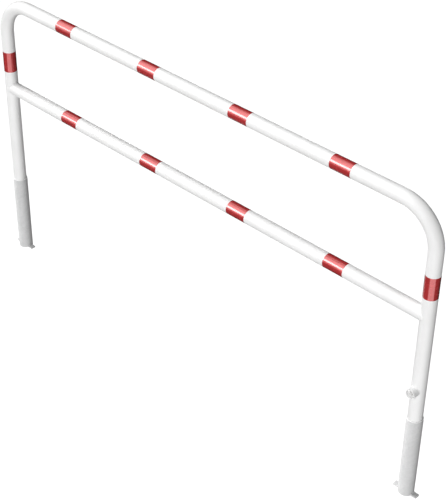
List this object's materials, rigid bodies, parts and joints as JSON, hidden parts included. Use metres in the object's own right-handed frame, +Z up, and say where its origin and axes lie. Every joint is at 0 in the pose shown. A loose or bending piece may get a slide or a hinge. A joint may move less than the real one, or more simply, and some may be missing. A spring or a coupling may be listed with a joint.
{
  "type": "removable hoop barrier",
  "caption": "Removable steel hoop barrier with a knee rail and red bands, standing in two ground sockets with anchor bars and held down by a triangular-key lock in one leg.",
  "frame": {"origin": "on the ground line, midway between the two legs, in the plane of the hoop, level with the sockets' rims", "axes": "+X along the rails towards the leg with the lock, +Y out of the back, +Z up; the key goes in from the front at -Y"},
  "size_m": [2.556, 0.089, 1.3804],
  "materials": {
    "white_coating": "satin white powder coat over galvanised steel",
    "red_film": "glossy red reflective film",
    "galvanised_steel": "matt hot-dip galvanised",
    "machined_steel": "turned and zinc-plated steel",
    "lock_bush": "turned steel, coated with the barrel",
    "bolt_housing": "turned grey iron"
  },
  "bodies": {
    "ground_sockets": {"left_socket_tube": "galvanised_steel", "left_anchor_bar": "galvanised_steel", "right_socket_tube": "galvanised_steel", "right_anchor_bar": "galvanised_steel"},
    "hoop": {"hoop_tube": "white_coating", "knee_rail": "white_coating", "top_band_1": "red_film", "top_band_2": "red_film", "top_band_3": "red_film", "top_band_4": "red_film", "knee_band_1": "red_film", "knee_band_2": "red_film", "knee_band_3": "red_film", "knee_band_4": "red_film", "left_leg_band": "red_film", "right_leg_band": "red_film", "lock_barrel": "white_coating", "lock_bush": "lock_bush", "grub_screw": "machined_steel", "bolt_housing": "bolt_housing", "housing_pins": "machined_steel"},
    "key_crank": {"key_spindle": "machined_steel", "thrust_washer": "machined_steel", "crank_disc": "machined_steel", "crank_pin": "machined_steel"},
    "rod": {"lock_rod": "machined_steel"},
    "bolt": {"lock_bolt": "machined_steel", "bolt_cross_pin": "machined_steel"}
  },
  "joints": [
    {"name": "lift_out", "type": "slide", "parent": "ground_sockets", "child": "hoop", "axis": [0, 0, 1], "range_m": [0, 0.42]},
    {"name": "key_turn", "type": "hinge", "parent": "hoop", "child": "key_crank", "pos_m": [1.22, -0.03, 0.15], "axis": [0, 1, 0], "range_deg": [0, 90]},
    {"name": "rod_drop", "type": "slide", "parent": "hoop", "child": "rod", "axis": [0, 0, -1], "range_m": [0, 0.01273]},
    {"name": "bolt_throw", "type": "slide", "parent": "hoop", "child": "bolt", "axis": [-1, 0, 0], "range_m": [0, 0.008]}
  ],
  "couplings": [
    {"joint": "rod_drop", "follows": "key_turn", "m_per_rad": 0.0081028},
    {"joint": "bolt_throw", "follows": "key_turn", "m_per_rad": 0.0050929}
  ]
}
